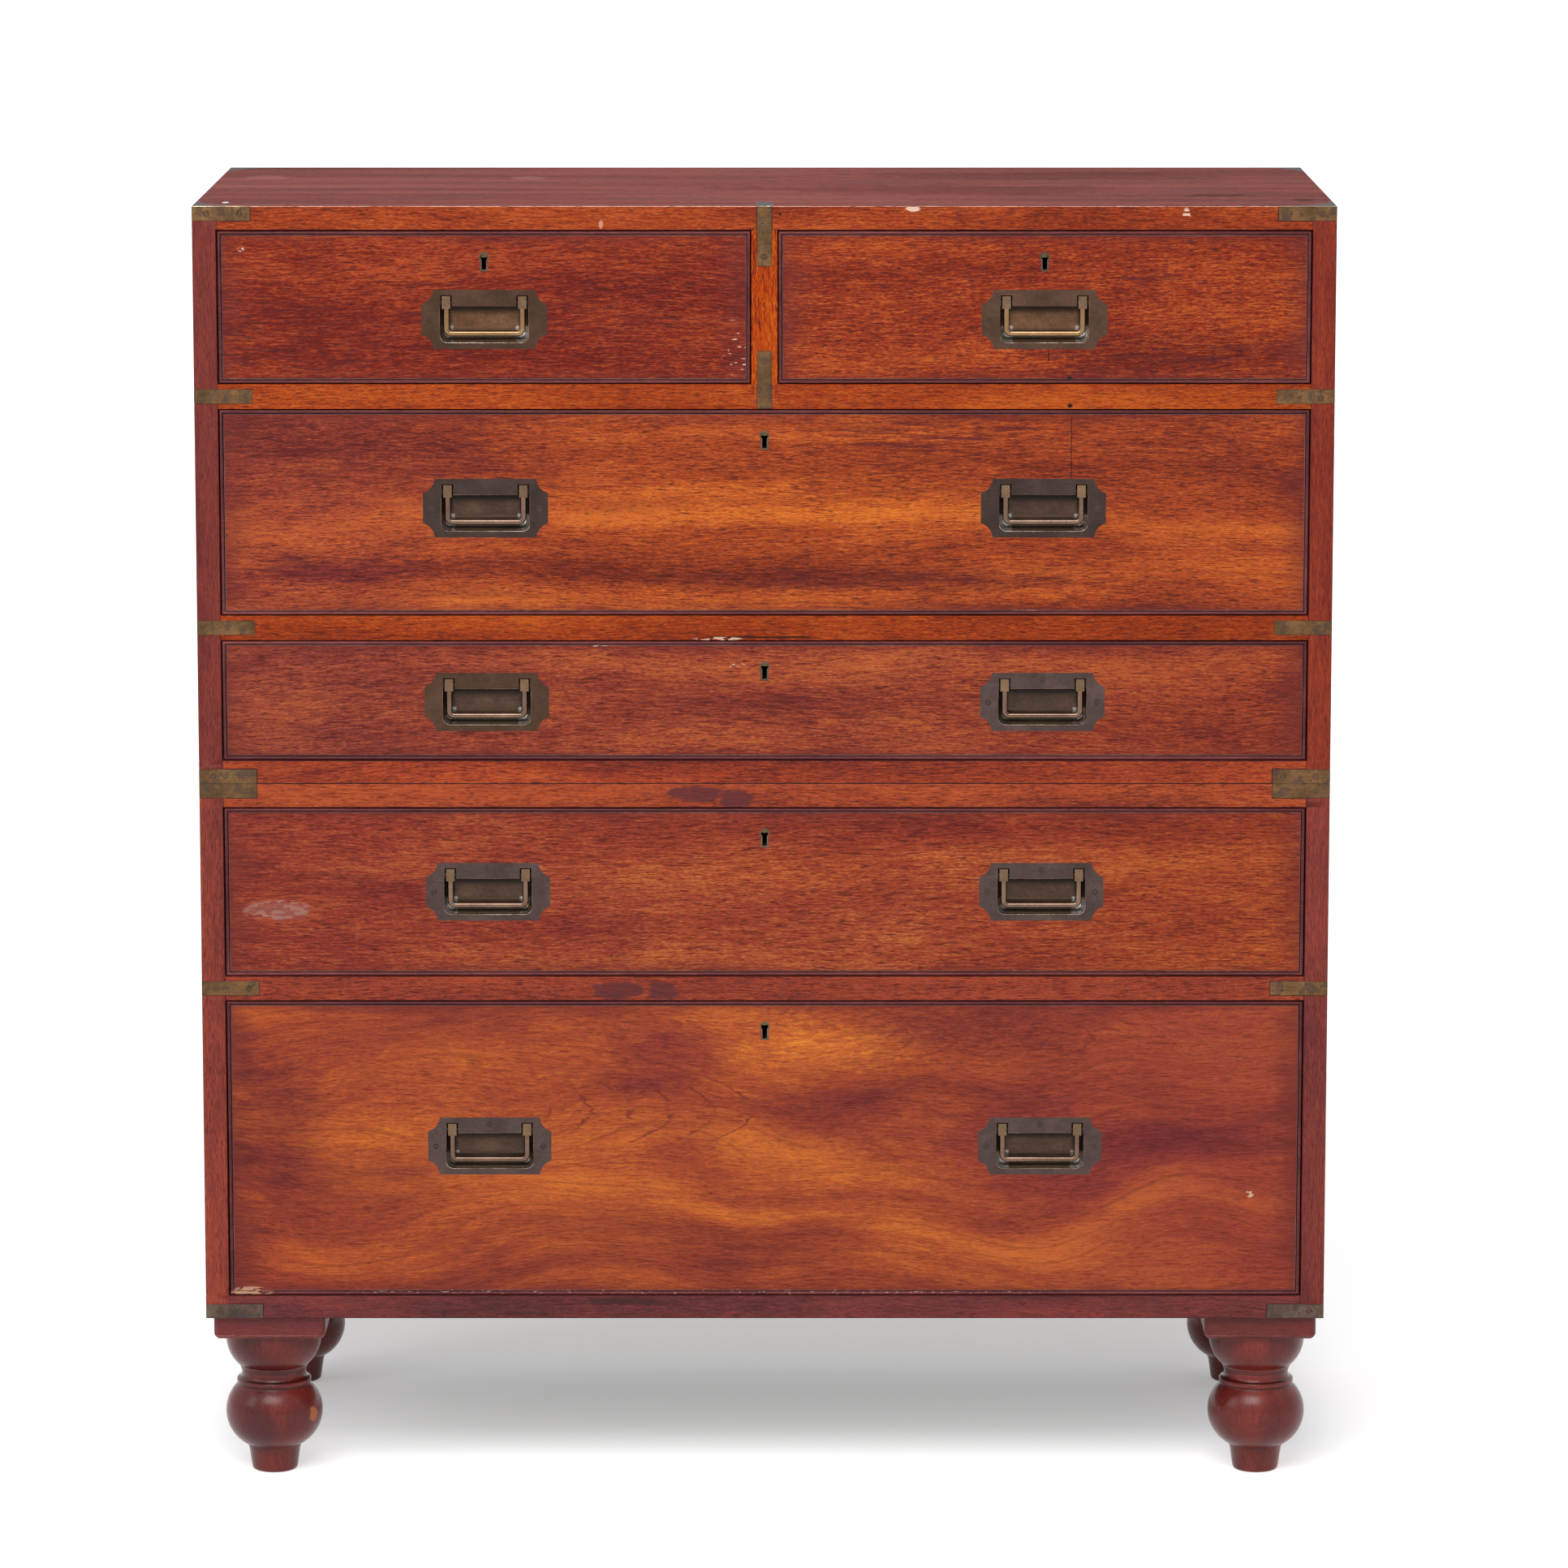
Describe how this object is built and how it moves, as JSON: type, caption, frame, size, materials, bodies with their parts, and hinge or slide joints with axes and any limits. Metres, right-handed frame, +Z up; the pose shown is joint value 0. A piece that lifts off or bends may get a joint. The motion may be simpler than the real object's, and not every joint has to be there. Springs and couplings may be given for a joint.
{
  "type": "campaign chest",
  "caption": "Brass-bound campaign chest of drawers: stacking upper and lower cases on turned feet, cockbeaded drawers with flush drop handles and locks that slide out of the front",
  "frame": {"origin": "on the floor, under the middle of the chest", "axes": "+X to the right of someone who faces the drawers, -Y out of the drawer fronts, +Z up"},
  "size_m": [0.991, 0.432, 1.1382],
  "materials": {
    "case_mahogany": "worn french polish",
    "front_mahogany": "worn french polish",
    "cockbead_mahogany": "dark polish",
    "foot_mahogany": "worn french polish",
    "drawer_lining": "bare",
    "back_pine": "bare",
    "handle_brass": "aged, matt",
    "bail_brass": "aged, worn bright",
    "strap_brass": "aged, satin",
    "lock_brass": "aged, satin"
  },
  "bodies": {
    "lower_case": {"lower_top_board": "case_mahogany", "lower_sides": "case_mahogany", "lower_bottom_board": "case_mahogany", "lower_rails": "case_mahogany", "lower_back": "back_pine", "lower_straps": "strap_brass", "foot_blocks": "foot_mahogany", "feet": "foot_mahogany"},
    "upper_case": {"upper_top_board": "case_mahogany", "upper_sides": "case_mahogany", "upper_bottom_board": "case_mahogany", "upper_rails": "case_mahogany", "upper_back": "back_pine", "upper_straps": "strap_brass"},
    "short_drawer_left": {"short_drawer_left_front": "front_mahogany", "short_drawer_left_box": "drawer_lining", "short_drawer_left_cockbead": "cockbead_mahogany", "short_drawer_left_handle_plate": "handle_brass", "short_drawer_left_lock": "lock_brass"},
    "short_drawer_left_bail": {"short_drawer_left_bail": "bail_brass"},
    "short_drawer_left_bolt": {"short_drawer_left_bolt": "lock_brass"},
    "short_drawer_right": {"short_drawer_right_front": "front_mahogany", "short_drawer_right_box": "drawer_lining", "short_drawer_right_cockbead": "cockbead_mahogany", "short_drawer_right_handle_plate": "handle_brass", "short_drawer_right_lock": "lock_brass"},
    "short_drawer_right_bail": {"short_drawer_right_bail": "bail_brass"},
    "short_drawer_right_bolt": {"short_drawer_right_bolt": "lock_brass"},
    "deep_drawer": {"deep_drawer_front": "front_mahogany", "deep_drawer_box": "drawer_lining", "deep_drawer_cockbead": "cockbead_mahogany", "deep_drawer_handle_plates": "handle_brass", "deep_drawer_lock": "lock_brass"},
    "deep_drawer_left_bail": {"deep_drawer_left_bail": "bail_brass"},
    "deep_drawer_right_bail": {"deep_drawer_right_bail": "bail_brass"},
    "deep_drawer_bolt": {"deep_drawer_bolt": "lock_brass"},
    "shallow_drawer": {"shallow_drawer_front": "front_mahogany", "shallow_drawer_box": "drawer_lining", "shallow_drawer_cockbead": "cockbead_mahogany", "shallow_drawer_handle_plates": "handle_brass", "shallow_drawer_lock": "lock_brass"},
    "shallow_drawer_left_bail": {"shallow_drawer_left_bail": "bail_brass"},
    "shallow_drawer_right_bail": {"shallow_drawer_right_bail": "bail_brass"},
    "shallow_drawer_bolt": {"shallow_drawer_bolt": "lock_brass"},
    "middle_drawer": {"middle_drawer_front": "front_mahogany", "middle_drawer_box": "drawer_lining", "middle_drawer_cockbead": "cockbead_mahogany", "middle_drawer_handle_plates": "handle_brass", "middle_drawer_lock": "lock_brass"},
    "middle_drawer_left_bail": {"middle_drawer_left_bail": "bail_brass"},
    "middle_drawer_right_bail": {"middle_drawer_right_bail": "bail_brass"},
    "middle_drawer_bolt": {"middle_drawer_bolt": "lock_brass"},
    "bottom_drawer": {"bottom_drawer_front": "front_mahogany", "bottom_drawer_box": "drawer_lining", "bottom_drawer_cockbead": "cockbead_mahogany", "bottom_drawer_handle_plates": "handle_brass", "bottom_drawer_lock": "lock_brass"},
    "bottom_drawer_left_bail": {"bottom_drawer_left_bail": "bail_brass"},
    "bottom_drawer_right_bail": {"bottom_drawer_right_bail": "bail_brass"},
    "bottom_drawer_bolt": {"bottom_drawer_bolt": "lock_brass"}
  },
  "joints": [
    {"name": "upper_case_lift", "type": "slide", "parent": "lower_case", "child": "upper_case", "axis": [0, 0, 1], "range_m": [0, 0.15]},
    {"name": "short_drawer_left_slide", "type": "slide", "parent": "upper_case", "child": "short_drawer_left", "axis": [0, -1, 0], "range_m": [0, 0.3]},
    {"name": "short_drawer_left_bail_hinge", "type": "hinge", "parent": "short_drawer_left", "child": "short_drawer_left_bail", "pos_m": [-0.24297, -0.2118, 1.05445], "axis": [-1, 0, 0], "range_deg": [-10, 128]},
    {"name": "short_drawer_left_bolt_throw", "type": "slide", "parent": "short_drawer_left", "child": "short_drawer_left_bolt", "axis": [0, 0, 1], "range_m": [0, 0.007]},
    {"name": "short_drawer_right_slide", "type": "slide", "parent": "upper_case", "child": "short_drawer_right", "axis": [0, -1, 0], "range_m": [0, 0.3]},
    {"name": "short_drawer_right_bail_hinge", "type": "hinge", "parent": "short_drawer_right", "child": "short_drawer_right_bail", "pos_m": [0.24297, -0.2118, 1.05445], "axis": [-1, 0, 0], "range_deg": [-10, 128]},
    {"name": "short_drawer_right_bolt_throw", "type": "slide", "parent": "short_drawer_right", "child": "short_drawer_right_bolt", "axis": [0, 0, 1], "range_m": [0, 0.007]},
    {"name": "deep_drawer_slide", "type": "slide", "parent": "upper_case", "child": "deep_drawer", "axis": [0, -1, 0], "range_m": [0, 0.3]},
    {"name": "deep_drawer_left_bail_hinge", "type": "hinge", "parent": "deep_drawer", "child": "deep_drawer_left_bail", "pos_m": [-0.24297, -0.2118, 0.8896], "axis": [-1, 0, 0], "range_deg": [-10, 128]},
    {"name": "deep_drawer_right_bail_hinge", "type": "hinge", "parent": "deep_drawer", "child": "deep_drawer_right_bail", "pos_m": [0.24297, -0.2118, 0.8896], "axis": [-1, 0, 0], "range_deg": [-10, 128]},
    {"name": "deep_drawer_bolt_throw", "type": "slide", "parent": "deep_drawer", "child": "deep_drawer_bolt", "axis": [0, 0, 1], "range_m": [0, 0.007]},
    {"name": "shallow_drawer_slide", "type": "slide", "parent": "upper_case", "child": "shallow_drawer", "axis": [0, -1, 0], "range_m": [0, 0.3]},
    {"name": "shallow_drawer_left_bail_hinge", "type": "hinge", "parent": "shallow_drawer", "child": "shallow_drawer_left_bail", "pos_m": [-0.24297, -0.2118, 0.7188], "axis": [-1, 0, 0], "range_deg": [-10, 128]},
    {"name": "shallow_drawer_right_bail_hinge", "type": "hinge", "parent": "shallow_drawer", "child": "shallow_drawer_right_bail", "pos_m": [0.24297, -0.2118, 0.7188], "axis": [-1, 0, 0], "range_deg": [-10, 128]},
    {"name": "shallow_drawer_bolt_throw", "type": "slide", "parent": "shallow_drawer", "child": "shallow_drawer_bolt", "axis": [0, 0, 1], "range_m": [0, 0.007]},
    {"name": "middle_drawer_slide", "type": "slide", "parent": "lower_case", "child": "middle_drawer", "axis": [0, -1, 0], "range_m": [0, 0.3]},
    {"name": "middle_drawer_left_bail_hinge", "type": "hinge", "parent": "middle_drawer", "child": "middle_drawer_left_bail", "pos_m": [-0.24297, -0.2118, 0.55005], "axis": [-1, 0, 0], "range_deg": [-10, 128]},
    {"name": "middle_drawer_right_bail_hinge", "type": "hinge", "parent": "middle_drawer", "child": "middle_drawer_right_bail", "pos_m": [0.24297, -0.2118, 0.55005], "axis": [-1, 0, 0], "range_deg": [-10, 128]},
    {"name": "middle_drawer_bolt_throw", "type": "slide", "parent": "middle_drawer", "child": "middle_drawer_bolt", "axis": [0, 0, 1], "range_m": [0, 0.007]},
    {"name": "bottom_drawer_slide", "type": "slide", "parent": "lower_case", "child": "bottom_drawer", "axis": [0, -1, 0], "range_m": [0, 0.3]},
    {"name": "bottom_drawer_left_bail_hinge", "type": "hinge", "parent": "bottom_drawer", "child": "bottom_drawer_left_bail", "pos_m": [-0.24297, -0.2118, 0.3217], "axis": [-1, 0, 0], "range_deg": [-10, 128]},
    {"name": "bottom_drawer_right_bail_hinge", "type": "hinge", "parent": "bottom_drawer", "child": "bottom_drawer_right_bail", "pos_m": [0.24297, -0.2118, 0.3217], "axis": [-1, 0, 0], "range_deg": [-10, 128]},
    {"name": "bottom_drawer_bolt_throw", "type": "slide", "parent": "bottom_drawer", "child": "bottom_drawer_bolt", "axis": [0, 0, 1], "range_m": [0, 0.007]}
  ]
}
